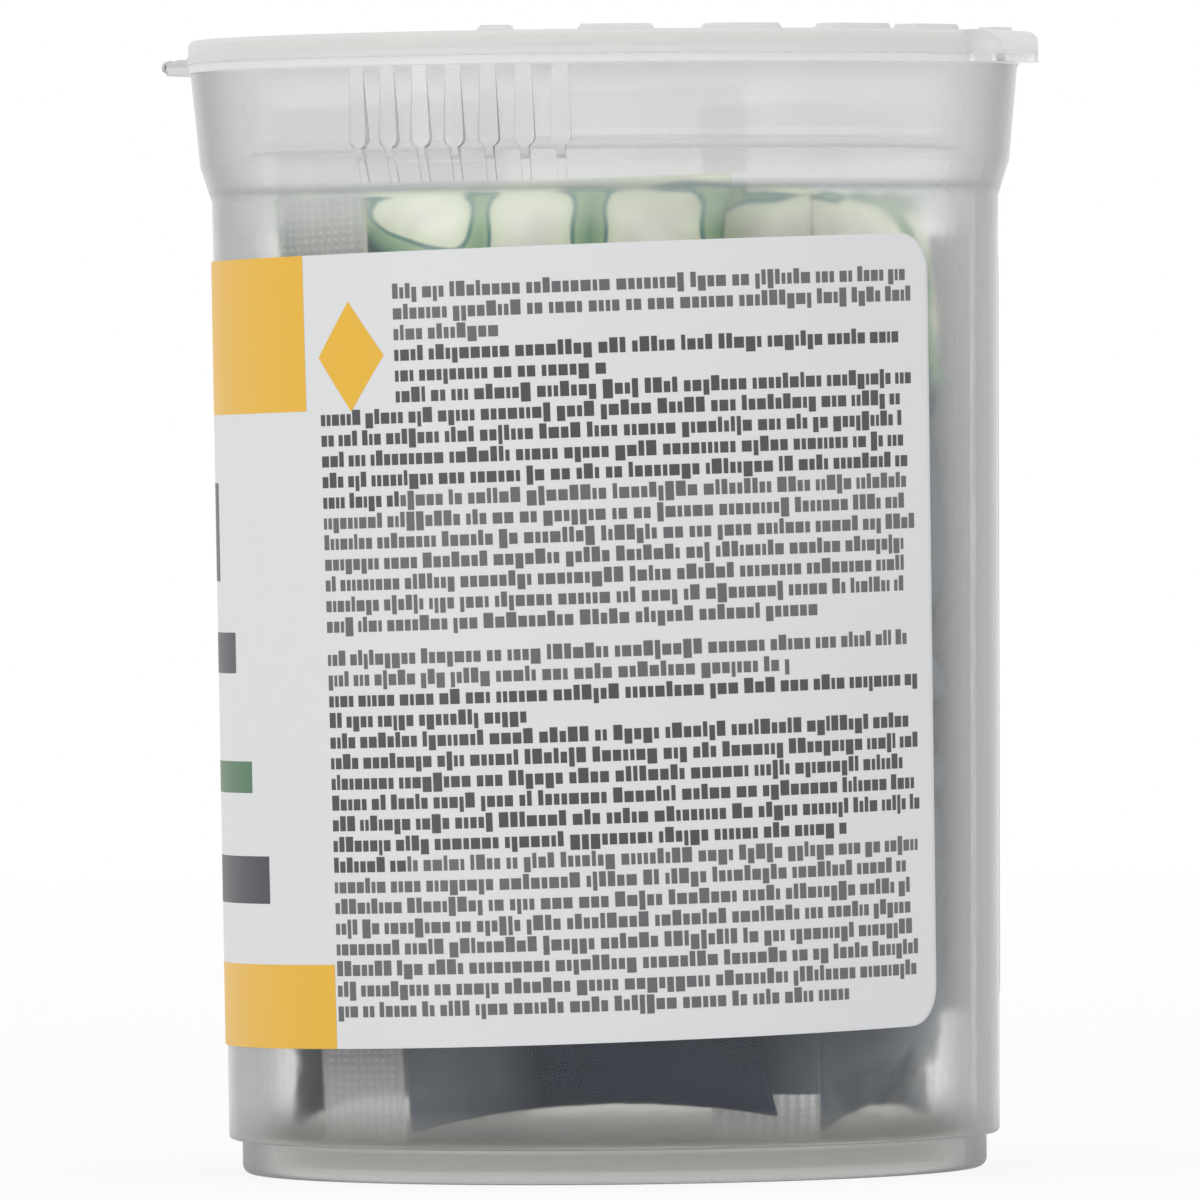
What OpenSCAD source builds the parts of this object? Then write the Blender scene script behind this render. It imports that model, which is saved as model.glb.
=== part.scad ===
// Round clear tub with a flip lid and a wrap-around label, holding three upright refill pods.
// The part stands on z = 0. The thumb tab points along +X and the lid's hinge is on the -X side.

/* [Tub] */
// Outer diameter of the foot ring, above its rounded edge
foot_d = 57; // [50:0.5:62]
// Height of the foot ring, up to the step under the body
foot_h = 2.65; // [2.2:0.05:4]
// Radius of the foot ring's lower edge
foot_round = 0.7; // [0.3:0.1:1.2]
// Width of the foot ring under the raised floor
foot_ring_w = 1.7; // [1.2:0.1:3]
// How far the floor is raised inside the foot ring
floor_lift = 0.9; // [0.5:0.1:1.5]
// Thickness of the floor
floor_t = 1.3; // [1:0.1:2]
// Radius between the floor and the inside of the wall
floor_fillet = 1.2; // [0.6:0.1:1.6]
// How far the body stands out over the foot ring
foot_step = 1.02; // [0.6:0.02:1.5]
// Radius of the body's lower edge
step_round = 0.35; // [0.1:0.05:0.6]
// Wall thickness of the tub
wall = 1.1; // [0.8:0.05:1.4]
// Draft of the body's side, in degrees
body_draft = 0.46; // [0.2:0.02:0.8]
// Height at which the shoulder starts
shoulder_z = 74.3; // [70:0.1:80]
// Height of the shoulder
shoulder_h = 2.7; // [1.5:0.1:4]
// How far the shoulder widens the wall
shoulder_out = 0.88; // [0.5:0.02:1.5]
// Height of the collar, from the shoulder to the rim
collar_h = 7.2; // [6:0.1:9]
// Draft of the collar, in degrees
collar_draft = 5.45; // [3:0.05:7]
// Thickness of the rim and of the hinge ear beside it
rim_t = 0.65; // [0.5:0.05:1]
// How far the rim stands out past the collar
rim_out = 0.12; // [0.05:0.01:0.3]
// Bevel inside the mouth
mouth_bevel = 0.3; // [0.1:0.05:0.5]

/* [Grip ribs] */
// Number of ribs in each of the two groups
rib_count = 7; // [3:1:9]
// Angle between neighbouring ribs
rib_pitch = 5; // [4:0.25:6]
// Width of a rib at the rim
rib_top_w = 1.15; // [0.8:0.05:1.4]
// Width of a rib at its round lower end
rib_low_w = 1.6; // [1.2:0.05:1.9]
// Height of a rib's round lower end above the shoulder
rib_end_up = 0.9; // [0.5:0.1:2]
// Width of the narrow stem under a rib
stem_w = 0.7; // [0.5:0.05:1]
// How far the stem runs down over the shoulder
stem_drop = 1.6; // [1:0.1:2.2]
// How far the stem stands out from the shoulder
stem_out = 0.22; // [0.1:0.02:0.4]

/* [Lid] */
// Thickness of the band under the lid's edge and of the hinge ear beside it
band_t = 0.6; // [0.45:0.05:0.9]
// How far the band stands out past the tub's rim
band_out = 0.13; // [0:0.01:0.3]
// How far the top plate's edge is set in from the band
plate_in = 0.1; // [0.05:0.01:0.3]
// Thickness of the top plate
plate_t = 1.23; // [0.9:0.05:1.8]
// Radius of the top plate's upper edge
plate_round = 0.45; // [0.2:0.05:0.7]
// Depth of the plug that seals inside the collar, below the seam
plug_depth = 7.1; // [5:0.1:7.1]
// Thickness of the plug's wall
plug_t = 0.9; // [0.7:0.05:1.2]
// Clearance between the plug and the collar
plug_clear = 0.3; // [0.22:0.02:0.4]
// How far the sealing bead stands out of the plug
bead_out = 0.14; // [0.05:0.01:0.18]
// Height of the sealing bead
bead_h = 1.1; // [0.8:0.1:2]

/* [Stacking lugs] */
// Height of the raised lugs on the lid
lug_h = 0.38; // [0.2:0.02:0.6]
// Length of a lug along the lid's edge
lug_len = 5.8; // [4:0.1:7]
// Length of the short lug over the grip ribs
short_lug_len = 2.4; // [1.5:0.1:4]
// Bevel on the ends of a lug
lug_bevel = 0.3; // [0.1:0.05:0.5]
// How far the lugs are set in from the lid's edge
lug_in = 0.5; // [0.45:0.05:1]
// Clearance between the lugs and the foot of a tub stacked above
stack_clear = 0.7; // [0.4:0.1:1.2]

/* [Tab and hinge] */
// Reach of the thumb tab, from the axis of the tub
tab_reach = 33.95; // [33.4:0.05:36]
// Width of the thumb tab
tab_w = 10.5; // [8:0.5:14]
// Radius of the thumb tab's corners, seen from above
tab_corner = 1.7; // [1:0.1:2.5]
// Radius of the thumb tab's rolled outer edge
tab_roll = 1.5; // [0.8:0.1:1.8]
// How far the thumb tab hangs below the seam
tab_drop = 0.6; // [0.3:0.05:1.5]
// Wall thickness of the hollow thumb tab
tab_wall = 0.9; // [0.7:0.05:1.2]
// Clearance between the thumb tab and the tub's rim
tab_clear = 0.35; // [0.25:0.05:0.6]
// Reach of the two hinge ears, from the axis of the tub
ear_reach = 33.95; // [33.2:0.05:36]
// Width of the hinge ears
ear_w = 11; // [8:0.5:16]
// Length of the slope at the end of the lid's ear
ear_slope = 1.1; // [0.5:0.1:1.5]
// Height of the slope at the end of the lid's ear
ear_slope_h = 0.28; // [0.1:0.02:0.4]

/* [Label] */
// Height of the label
label_h = 59.9; // [50:0.5:62]
// Height of the label's middle above the table
label_mid_z = 40.7; // [38:0.1:42]
// Thickness of the label
label_t = 0.13; // [0.08:0.01:0.2]
// Thickness of the glue under the label
glue_t = 0.02; // [0.01:0.01:0.05]
// Width of the gap between the label's ends
label_gap = 20; // [8:0.2:24]
// Radius of the label's corners
label_corner = 3; // [1:0.5:5]
// Direction of the gap between the label's ends
label_gap_dir = 5; // [-10:0.5:15]
// How crooked the label is stuck on, in degrees
label_skew = 1.6; // [0:0.1:2]
// Direction from which the label looks most crooked
label_skew_dir = -69; // [-90:1:90]

/* [Pods] */
// Width of a pod's pillow
pod_w = 28.5; // [24:0.5:30]
// Thickness of a pod's pillow
pod_t = 8.6; // [6:0.2:9]
// Height of a pod's pillow
pillow_h = 72; // [60:1:74]
// Height over which the pillow thins out at each end
pillow_taper = 12; // [8:1:20]
// How far a filled pod draws in along its free side
side_draw = 1.9; // [0:0.1:2.5]
// How far a filled pod's foot arches up
foot_draw = 1.7; // [0:0.1:2.5]
// Height of the flat seal above the pillow
top_seal_h = 6.2; // [3:0.2:7.5]
// Width of the flat seal down one side
side_seal_w = 8; // [5:0.5:9]
// Thickness of the welded film in the seals
film_t = 0.3; // [0.2:0.05:0.4]
// Width of the film's flat edge round the pillow
film_edge = 0.6; // [0.4:0.1:1]
// Distance from the tub's axis to the middle of a pod
pod_seat = 21; // [20.5:0.1:21.6]
// Gap between a pod and the floor
pod_floor_gap = 0.2; // [0.1:0.05:0.3]

/* [Hidden] */
$fn = 120;
// Number of steps in a quarter of a small round
round_steps = 6;
// Number of steps along a pod's foot and along its free side
draw_steps = 12;
// How sharply a pod's free side turns out to its corners
corner_power = 5;
// Overlap where solids are joined or cut through
weld = 0.5;
plastic = [0.84, 0.87, 0.89, 0.5];
label_white = [0.96, 0.96, 0.97];
slate_blue = [0.22, 0.29, 0.36];
// Middle directions of the two groups of grip ribs
rib_groups = [-90, 90];
// Directions of the long stacking lugs on each side of the thumb tab
lug_dirs = [15, 30.5, 49, 67.3];
// Direction of the short stacking lug on each side
short_lug_dir = 84.5;
// Direction of each pod from the tub's axis, in degrees
pod_1_dir = -77;
pod_2_dir = 2;
pod_3_dir = 180;
// Inward fold of each pod's side seal, in degrees
pod_1_fold = 40;
pod_2_fold = 85;
pod_3_fold = 40;
// Sideways lean of each pod, in degrees
pod_1_lean = 2.2;
pod_2_lean = 0;
pod_3_lean = -1.2;

foot_r = foot_d / 2;
floor_top = floor_lift + floor_t;
body_low_r = foot_r + foot_step;
collar_z = shoulder_z + shoulder_h;
rim_z = collar_z + collar_h;
seam_z = rim_z + rim_t;
rim_r = collar_r(rim_z) + rim_out;
band_r = rim_r + band_out;
plate_r = band_r - plate_in;
plate_z = seam_z + band_t;
lid_top = plate_z + plate_t;
plug_z = seam_z - plug_depth;
tab_z = seam_z - tab_drop;
rib_end_z = collar_z + rib_end_up;
stem_z = collar_z - stem_drop;
sachet_h = film_edge + pillow_h + top_seal_h;

function body_r(z) = body_low_r + (z - foot_h) * tan(body_draft);
function collar_r(z) = body_r(shoulder_z) + shoulder_out + (z - collar_z) * tan(collar_draft);
function plug_r(z) = collar_r(z) - wall - plug_clear;
function arc(centre, r, from, to) = [
    for (i = [0:round_steps])
        let (a = from + (to - from) * i / round_steps)
        centre + r * [cos(a), sin(a)]
];

// The wall's profile, from the floor's underside round the outside and down the inside
function tub_outline() = concat(
    [[0, floor_lift], [foot_r - foot_ring_w, floor_lift], [foot_r - foot_ring_w, 0]],
    arc([foot_r - foot_round, foot_round], foot_round, -90, 0),
    [[foot_r, foot_h]],
    arc([body_low_r - step_round, foot_h + step_round], step_round, -90, 0),
    [
        [body_r(shoulder_z), shoulder_z],
        [collar_r(collar_z), collar_z],
        [collar_r(rim_z), rim_z],
        [rim_r, rim_z],
        [rim_r, seam_z],
        [collar_r(seam_z) - wall + mouth_bevel, seam_z],
        [collar_r(seam_z - mouth_bevel) - wall, seam_z - mouth_bevel],
        [collar_r(collar_z) - wall, collar_z],
        [body_r(shoulder_z) - wall, shoulder_z]
    ],
    arc([body_r(floor_top) - wall - floor_fillet, floor_top + floor_fillet], floor_fillet, 0, -90),
    [[0, floor_top]]
);

// The lid's profile, from the plate's underside down the plug and out round the edge
function lid_outline() = concat(
    [[0, plate_z], [plug_r(seam_z) - plug_t, plate_z], [plug_r(plug_z) - plug_t, plug_z + plug_t / 2]],
    arc([plug_r(plug_z) - plug_t / 2, plug_z + plug_t / 2], plug_t / 2, 180, 360),
    [
        [plug_r(plug_z + bead_h / 2) + bead_out, plug_z + plug_t / 2 + bead_h / 2],
        [plug_r(plug_z + plug_t / 2 + bead_h), plug_z + plug_t / 2 + bead_h],
        [plug_r(seam_z), seam_z],
        [band_r, seam_z],
        [band_r, plate_z],
        [plate_r, plate_z]
    ],
    arc([plate_r - plate_round, lid_top - plate_round], plate_round, 0, 90),
    [[0, lid_top]]
);

// The lens of a pod's pillow seen from above, centred on the origin
module lens(w, t) {
    r = (w * w + t * t) / (4 * t);
    intersection() {
        translate([r - t / 2, 0]) circle(r);
        translate([t / 2 - r, 0]) circle(r);
    }
}

// An outline of tangent and height, pushed outward through the wall in one direction
module outward(dir, reach) {
    rotate([0, 0, dir]) rotate([90, 0, 90]) linear_extrude(reach) children();
}

// An outline of outward distance and height, made as wide as a tab or an ear
module across(w) {
    rotate([90, 0, 0]) linear_extrude(w, center = true) children();
}

// Extrudes an outline drawn across and up, through a thickness along X
module through(t) {
    rotate([90, 0, 90]) linear_extrude(t, center = true) children();
}

// The outline of one rib with the stem under it
module rib_outline() {
    end_r = rib_low_w / 2;
    polygon([
        [-rib_top_w / 2, rim_z + rim_t / 2],
        [-end_r, rib_end_z + end_r],
        [end_r, rib_end_z + end_r],
        [rib_top_w / 2, rim_z + rim_t / 2]
    ]);
    translate([0, rib_end_z + end_r]) circle(end_r);
    translate([-stem_w / 2, stem_z]) square([stem_w, rib_end_z + end_r - stem_z]);
}

// The ring that the ribs are cut from: it starts inside the wall and ends at the rim's width
module rib_ring() {
    rotate_extrude() polygon([
        [body_r(shoulder_z) - wall / 2, shoulder_z],
        [collar_r(collar_z) - wall / 2, collar_z],
        [collar_r(rim_z) - wall / 2, rim_z],
        [collar_r(rim_z) - wall / 2, rim_z + rim_t / 2],
        [collar_r(rim_z), rim_z + rim_t / 2],
        [collar_r(rim_z), rib_end_z],
        [collar_r(collar_z) + stem_out, collar_z],
        [body_r(shoulder_z) + stem_out, shoulder_z]
    ]);
}

module grip_ribs() {
    intersection() {
        rib_ring();
        union() {
            for (group = rib_groups, i = [0:rib_count - 1])
                outward(group + (i - (rib_count - 1) / 2) * rib_pitch, band_r) rib_outline();
        }
    }
}

module tub() {
    color(plastic) {
        rotate_extrude() polygon(tub_outline());
        grip_ribs();
        // The tub's hinge ear, flush with the rim
        across(ear_w) polygon([
            [-rim_r + weld, rim_z],
            [-rim_r + weld, seam_z],
            [-ear_reach, seam_z],
            [-ear_reach, rim_z]
        ]);
    }
}

module lug_outline(len) {
    polygon([
        [-len / 2, lid_top - weld],
        [len / 2, lid_top - weld],
        [len / 2, lid_top],
        [len / 2 - lug_bevel, lid_top + lug_h],
        [-len / 2 + lug_bevel, lid_top + lug_h],
        [-len / 2, lid_top]
    ]);
}

module lugs() {
    intersection() {
        translate([0, 0, lid_top - weld]) difference() {
            cylinder(h = lug_h + weld, r = plate_r - lug_in);
            translate([0, 0, -weld]) cylinder(h = lug_h + 3 * weld, r = foot_r + stack_clear);
        }
        union() {
            for (side = [-1, 1]) {
                for (dir = lug_dirs) outward(side * dir, band_r) lug_outline(lug_len);
                outward(side * short_lug_dir, band_r) lug_outline(short_lug_len);
            }
        }
    }
}

// The thumb tab's shape from above, or its inside when an inset is given
module tab_plan(inset) {
    corner = tab_corner - inset;
    half_w = tab_w / 2 - inset;
    reach = tab_reach - inset;
    translate([0, -half_w]) square([reach - corner, 2 * half_w]);
    translate([0, corner - half_w]) square([reach, 2 * (half_w - corner)]);
    for (side = [-1, 1]) translate([reach - corner, side * (half_w - corner)]) circle(corner);
}

module thumb_tab() {
    difference() {
        intersection() {
            translate([0, 0, tab_z]) linear_extrude(lid_top - tab_z) tab_plan(0);
            across(tab_w) polygon(concat(
                [[plate_r - plate_round - weld, tab_z], [tab_reach, tab_z]],
                arc([tab_reach - tab_roll, lid_top - tab_roll], tab_roll, 0, 90),
                [[plate_r - plate_round - weld, lid_top]]
            ));
        }
        // Room for the tub's rim
        translate([0, 0, tab_z - weld]) cylinder(h = tab_drop + weld, r = rim_r + tab_clear);
        // The hollow under the tab, outside the band
        difference() {
            translate([0, 0, tab_z - weld])
                linear_extrude(lid_top - tab_wall - tab_z + weld) tab_plan(tab_wall);
            cylinder(h = lid_top, r = band_r);
        }
    }
}

module lid() {
    color(plastic) {
        rotate_extrude() polygon(lid_outline());
        lugs();
        thumb_tab();
        // The lid's hinge ear, level with the band
        across(ear_w) polygon([
            [-plate_r + weld, seam_z],
            [-plate_r + weld, plate_z],
            [-ear_reach + ear_slope, plate_z],
            [-ear_reach, plate_z - ear_slope_h],
            [-ear_reach, seam_z]
        ]);
    }
}

// What is left open between the label's ends, with the label's corners rounded off
module label_gap_outline() {
    difference() {
        square([label_gap + 2 * label_corner, label_h + 2 * weld], center = true);
        for (side = [-1, 1]) translate([side * (label_gap / 2 + label_corner), 0]) {
            square([2 * label_corner, label_h - 2 * label_corner], center = true);
            for (end = [-1, 1])
                translate([0, end * (label_h / 2 - label_corner)]) circle(label_corner);
        }
    }
}

module label() {
    slab_r = body_r(shoulder_z) + shoulder_out;
    low_z = label_mid_z - label_h / 2 - slab_r * sin(label_skew) - weld;
    high_z = label_mid_z + label_h / 2 + slab_r * sin(label_skew) + weld;
    color(label_white) intersection() {
        rotate_extrude() polygon([
            [body_r(low_z) + glue_t, low_z],
            [body_r(low_z) + glue_t + label_t, low_z],
            [body_r(high_z) + glue_t + label_t, high_z],
            [body_r(high_z) + glue_t, high_z]
        ]);
        translate([0, 0, label_mid_z])
            rotate(a = label_skew, v = [cos(label_skew_dir), sin(label_skew_dir), 0])
            difference() {
                cube([2 * slab_r, 2 * slab_r, label_h], center = true);
                outward(label_gap_dir, 2 * slab_r) label_gap_outline();
            }
    }
}

// Half of a pillow's thickness at each height, as a closed outline
function pillow_side() =
    let (half = pod_t / 2)
    let (r = (half * half + pillow_taper * pillow_taper) / (2 * half))
    let (turn = asin(pillow_taper / r))
    concat(
        arc([half - r, pillow_taper], r, -turn, 0),
        arc([half - r, pillow_h - pillow_taper], r, 0, turn),
        arc([r - half, pillow_h - pillow_taper], r, 180 - turn, 180),
        arc([r - half, pillow_taper], r, 180, 180 + turn)
    );

// The bent strip of film seen from above: straight behind the pillow, then the folded side seal
function strip_outline(fold) =
    let (half = film_t / 2, edge = pod_w / 2 + film_edge)
    let (mitre = half * tan(fold / 2))
    let (run = side_seal_w * [-sin(fold), -cos(fold)])
    let (side = half * [cos(fold), -sin(fold)])
    [
        [half, edge],
        [half, -edge - mitre],
        [0, -edge] + run + side,
        [0, -edge] + run - side,
        [-half, -edge + mitre],
        [-half, edge]
    ];

// A pod seen from outside, from its side seal round the arched foot and up the drawn-in side
function pod_front() =
    let (edge = pod_w / 2 + film_edge)
    concat(
        [[-edge - side_seal_w, sachet_h], [-edge - side_seal_w, 0]],
        [for (i = [0:draw_steps])
            let (a = 180 * i / draw_steps)
            [-edge * cos(a), foot_draw * pow(sin(a), 2)]],
        [for (i = [1:draw_steps])
            let (t = (1 - cos(180 * i / draw_steps)) / 2)
            [edge - side_draw * (1 - pow(abs(2 * t - 1), corner_power)), t * (film_edge + pillow_h)]],
        [[edge, sachet_h]]
    );

module pod(dir, fold, lean) {
    reach = pod_w / 2 + film_edge + side_seal_w * cos(fold);
    lift = floor_top + pod_floor_gap + reach * sin(abs(lean));
    color(slate_blue)
        rotate([0, 0, dir])
        translate([pod_seat, 0, lift + sachet_h / 2])
        rotate([lean, 0, 0])
        translate([0, 0, -sachet_h / 2]) intersection() {
            union() {
                linear_extrude(sachet_h) polygon(strip_outline(fold));
                translate([0, 0, film_edge]) intersection() {
                    linear_extrude(pillow_h) lens(pod_w, pod_t);
                    across(pod_w) polygon(pillow_side());
                }
            }
            through(2 * side_seal_w + pod_t) polygon(pod_front());
        }
}

module pod_1() { pod(pod_1_dir, pod_1_fold, pod_1_lean); }
module pod_2() { pod(pod_2_dir, pod_2_fold, pod_2_lean); }
module pod_3() { pod(pod_3_dir, pod_3_fold, pod_3_lean); }

tub();
lid();
label();
pod_1();
pod_2();
pod_3();
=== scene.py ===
# Pack of cleaner refill pods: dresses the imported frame, then sets the camera and the light.
import math
import random
from typing import NamedTuple

import bpy
from mathutils import Matrix, Quaternion, Vector


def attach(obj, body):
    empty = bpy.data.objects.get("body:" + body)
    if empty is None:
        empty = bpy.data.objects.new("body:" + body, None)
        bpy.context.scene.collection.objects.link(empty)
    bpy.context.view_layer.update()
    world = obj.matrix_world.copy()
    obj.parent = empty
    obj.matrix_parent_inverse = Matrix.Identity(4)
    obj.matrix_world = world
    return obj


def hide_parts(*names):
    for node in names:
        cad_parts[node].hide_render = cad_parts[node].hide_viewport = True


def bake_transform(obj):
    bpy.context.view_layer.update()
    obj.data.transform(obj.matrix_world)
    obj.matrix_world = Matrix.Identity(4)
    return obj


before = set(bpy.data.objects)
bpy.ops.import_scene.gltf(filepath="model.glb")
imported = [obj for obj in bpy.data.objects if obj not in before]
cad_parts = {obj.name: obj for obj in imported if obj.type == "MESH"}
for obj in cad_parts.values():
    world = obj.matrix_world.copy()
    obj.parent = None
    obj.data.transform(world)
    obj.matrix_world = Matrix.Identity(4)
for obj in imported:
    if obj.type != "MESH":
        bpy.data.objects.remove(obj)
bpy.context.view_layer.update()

# Lengths below are in millimetres unless they say otherwise
MM = 0.001

# Tub and label, as the part has them
BODY_LOW_R = 29.52
FOOT_H = 2.65
BODY_DRAFT = math.radians(0.46)
COLLAR_Z = 77
COLLAR_R = 30.98
COLLAR_DRAFT = math.radians(5.45)
RIM_Z = 84.2
LABEL_H = 59.9
LABEL_MID_Z = 40.7
LABEL_T = 0.13
LABEL_GLUE = 0.02
LABEL_CORNER = 3
LABEL_GAP = 20
LABEL_GAP_DIR = 5
LABEL_SKEW = 1.6
LABEL_SKEW_DIR = -69

# Pods, as the part has them
POD_W = 28.5
POD_T = 8.6
PILLOW_H = 72
PILLOW_TAPER = 12
TOP_SEAL_H = 6.2
SIDE_SEAL_W = 8
FILM_T = 0.3
FILM_EDGE = 0.6
POD_SEAT = 21
POD_REST_Z = 2.4
SACHET_H = FILM_EDGE + PILLOW_H + TOP_SEAL_H

# Hinge, as the part has it
HINGE_X = -34.2
HINGE_Z = 84.85
EAR_W = 11

# The plastic's veil is laid out over this height
VEIL_SPAN = 90

# The photo's frame is this many pixels wide and high
PHOTO_PX = 1200


def body_r(z):
    return BODY_LOW_R + (z - FOOT_H) * math.tan(BODY_DRAFT)


# Meshes

def grid_faces(columns, rows, start=0):
    """Quads of a grid whose vertices run row by row."""
    return [
        (at, at + 1, at + columns + 1, at + columns)
        for row in range(rows - 1)
        for at in range(start + row * columns, start + (row + 1) * columns - 1)
    ]


def sheet_faces(columns, rows):
    """Faces of a closed thin sheet: an outer grid, an inner grid turned over, and the rim between them."""
    inner = columns * rows
    faces = grid_faces(columns, rows)
    faces += [tuple(reversed(face)) for face in grid_faces(columns, rows, inner)]
    rim = list(range(columns))
    rim += [columns * (row + 1) - 1 for row in range(1, rows)]
    rim += [columns * (rows - 1) + column for column in range(columns - 2, -1, -1)]
    rim += [columns * row for row in range(rows - 2, 0, -1)]
    return faces + [(b, a, a + inner, b + inner) for a, b in zip(rim, rim[1:] + rim[:1])]


def add_object(name, points, faces):
    mesh = bpy.data.meshes.new(name)
    mesh.from_pydata([Vector(p) * MM for p in points], [], faces)
    mesh.shade_smooth()
    mesh.update()
    obj = bpy.data.objects.new(name, mesh)
    bpy.context.scene.collection.objects.link(obj)
    return obj


def apply_modifiers(obj):
    evaluated = obj.evaluated_get(bpy.context.evaluated_depsgraph_get())
    mesh = bpy.data.meshes.new_from_object(evaluated)
    obj.modifiers.clear()
    obj.data = mesh


# Materials

class Nodes:
    """A material's node tree, with its Principled shader at hand."""

    def __init__(self, name, **sockets):
        self.material = bpy.data.materials.new(name)
        self.material.use_nodes = True
        self.tree = self.material.node_tree
        self.shader = self.tree.nodes["Principled BSDF"]
        self.output = self.tree.nodes["Material Output"]
        for socket, value in sockets.items():
            self.shader.inputs[socket.replace("_", " ")].default_value = value

    def add(self, kind, **settings):
        node = self.tree.nodes.new(kind)
        for key, value in settings.items():
            setattr(node, key, value)
        return node

    def link(self, source, target):
        self.tree.links.new(source, target)

    def maths(self, operation, *values):
        node = self.add("ShaderNodeMath", operation=operation)
        for socket, value in zip(node.inputs, values):
            if isinstance(value, (int, float)):
                socket.default_value = value
            else:
                self.link(value, socket)
        return node.outputs["Value"]

    def mix(self, share, first, second, blend="MIX"):
        """A blend of two colours; the second is a plain one."""
        node = self.add("ShaderNodeMix", data_type="RGBA", blend_type=blend)
        self.link(share, node.inputs["Factor"])
        self.link(first, node.inputs["A"])
        node.inputs["B"].default_value = (*second, 1)
        return node.outputs["Result"]

    def ramp(self, share, stops):
        """A colour that runs through the stops, each a share and a colour."""
        node = self.add("ShaderNodeValToRGB")
        elements = node.color_ramp.elements
        while len(elements) < len(stops):
            elements.new(1)
        for element, (at, colour) in zip(elements, stops):
            element.position = at
            element.color = (*colour, 1)
        self.link(share, node.inputs["Fac"])
        return node.outputs["Color"]

    def spread(self, value, start, end, low=0.0, high=1.0, kind="LINEAR"):
        """The value, with its range from start to end laid out from low to high."""
        node = self.add("ShaderNodeMapRange", interpolation_type=kind)
        for socket, number in zip(("From Min", "From Max", "To Min", "To Max"), (start, end, low, high)):
            node.inputs[socket].default_value = number
        self.link(value, node.inputs["Value"])
        return node.outputs["Result"]

    def noise(self, scale, detail=2.0):
        node = self.add("ShaderNodeTexNoise")
        node.inputs["Scale"].default_value = scale
        node.inputs["Detail"].default_value = detail
        self.link(self.add("ShaderNodeTexCoord").outputs["Object"], node.inputs["Vector"])
        return node.outputs["Fac"]

    def bump(self, height, distance):
        node = self.add("ShaderNodeBump")
        node.inputs["Distance"].default_value = distance
        self.link(height, node.inputs["Height"])
        self.link(node.outputs["Normal"], self.shader.inputs["Normal"])

    def grain(self, scale, detail, distance):
        """Fine unevenness all over the surface."""
        self.bump(self.noise(scale, detail), distance)


# Grain of the surfaces: the noise's scale and detail, and its height in metres
PLASTIC_GRAIN = (260, 2, 0.00004)
PAPER_GRAIN = (900, 3, 0.00002)
FILM_GRAIN = (180, 3, 0.0002)


class Zone(NamedTuple):
    """The plastic from a height up: the share of veil over it, its tint and its roughness."""

    height: float
    veil: float
    tint: tuple
    rough: float


CLEAR_TINT = (0.985, 0.985, 0.978)
# Painted shade: the foot ring's tint is darkened for the shade near the floor; its heavier veil is the
# plastic's own
FOOT_SHADE_TINT = (0.67, 0.65, 0.615)
BAND_TINT = (0.84, 0.84, 0.835)
LID_TINT = (0.85, 0.85, 0.83)
RIB_TINT = (0.9, 0.9, 0.885)
# Painted shade: the tub's floor and lower wall take a dark warm tint for the shadow seen behind them
TUB_FLOOR_SHADE_TINT = (0.52, 0.5, 0.47)
# Painted shade: the dark line under the collar's foot
COLLAR_FOOT_SHADE_TINT = (0.5, 0.52, 0.53)
# Painted shade: the dark tint the wall takes where it is seen edge on
EDGE_SHADE_TINT = (0.24, 0.25, 0.26)
# The zones at 74.9 and 75.15 are the dark line at the collar's foot, a line of painted shade
TUB_ZONES = [
    Zone(0, 0.6, BAND_TINT, 0.5),
    Zone(0.45, 0.6, BAND_TINT, 0.5),
    Zone(0.6, 0.6, FOOT_SHADE_TINT, 0.5),
    Zone(2.4, 0.5, FOOT_SHADE_TINT, 0.4),
    Zone(3.3, 0.14, TUB_FLOOR_SHADE_TINT, 0.2),
    Zone(5.6, 0.006, CLEAR_TINT, 0.12),
    Zone(71.5, 0.006, CLEAR_TINT, 0.12),
    Zone(73.2, 0.1, CLEAR_TINT, 0.18),
    Zone(74.8, 0.1, CLEAR_TINT, 0.18),
    Zone(74.9, 0.3, COLLAR_FOOT_SHADE_TINT, 0.2),
    Zone(75.15, 0.3, COLLAR_FOOT_SHADE_TINT, 0.2),
    Zone(75.3, 0.12, CLEAR_TINT, 0.16),
    Zone(84.1, 0.12, CLEAR_TINT, 0.16),
    Zone(84.3, 0.6, LID_TINT, 0.4),
]
LID_ZONES = [
    Zone(0, 0.45, LID_TINT, 0.3),
    Zone(78.3, 0.45, LID_TINT, 0.3),
    Zone(78.5, 0.1, CLEAR_TINT, 0.16),
    Zone(84.7, 0.12, CLEAR_TINT, 0.16),
    Zone(84.9, 0.6, LID_TINT, 0.4),
    Zone(85.7, 0.78, LID_TINT, 0.4),
]
# Seen edge on, the wall is long and its haze closes up, and its colour is darkened there as painted shade:
# the facings where that starts and ends
EDGE_FACING = (0.41, 0.78)
EDGE_VEIL = 0.88
EDGE_SHADE_SHARE = 0.88
# What stands this proud of the collar's cone, from this height up, is a grip rib, with this much more veil
RIB_PROUD = 0.05
RIB_FROM_Z = COLLAR_Z + 0.3
RIB_VEIL = 0.16
PLASTIC_IOR = 1.34
# The colour and density that a long way through the plastic takes on, and the tint of the light it lets past
DEPTH_TINT = (0.7, 0.69, 0.66, 1)
DEPTH_DENSITY = 30
PASS_TINT = (0.93, 0.94, 0.95, 1)


def height_ramp(nodes, share, stops):
    """A colour that changes with height; stops gives heights and colours from the foot up."""
    return nodes.ramp(share, [(height / VEIL_SPAN, colour) for height, colour in stops])


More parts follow.
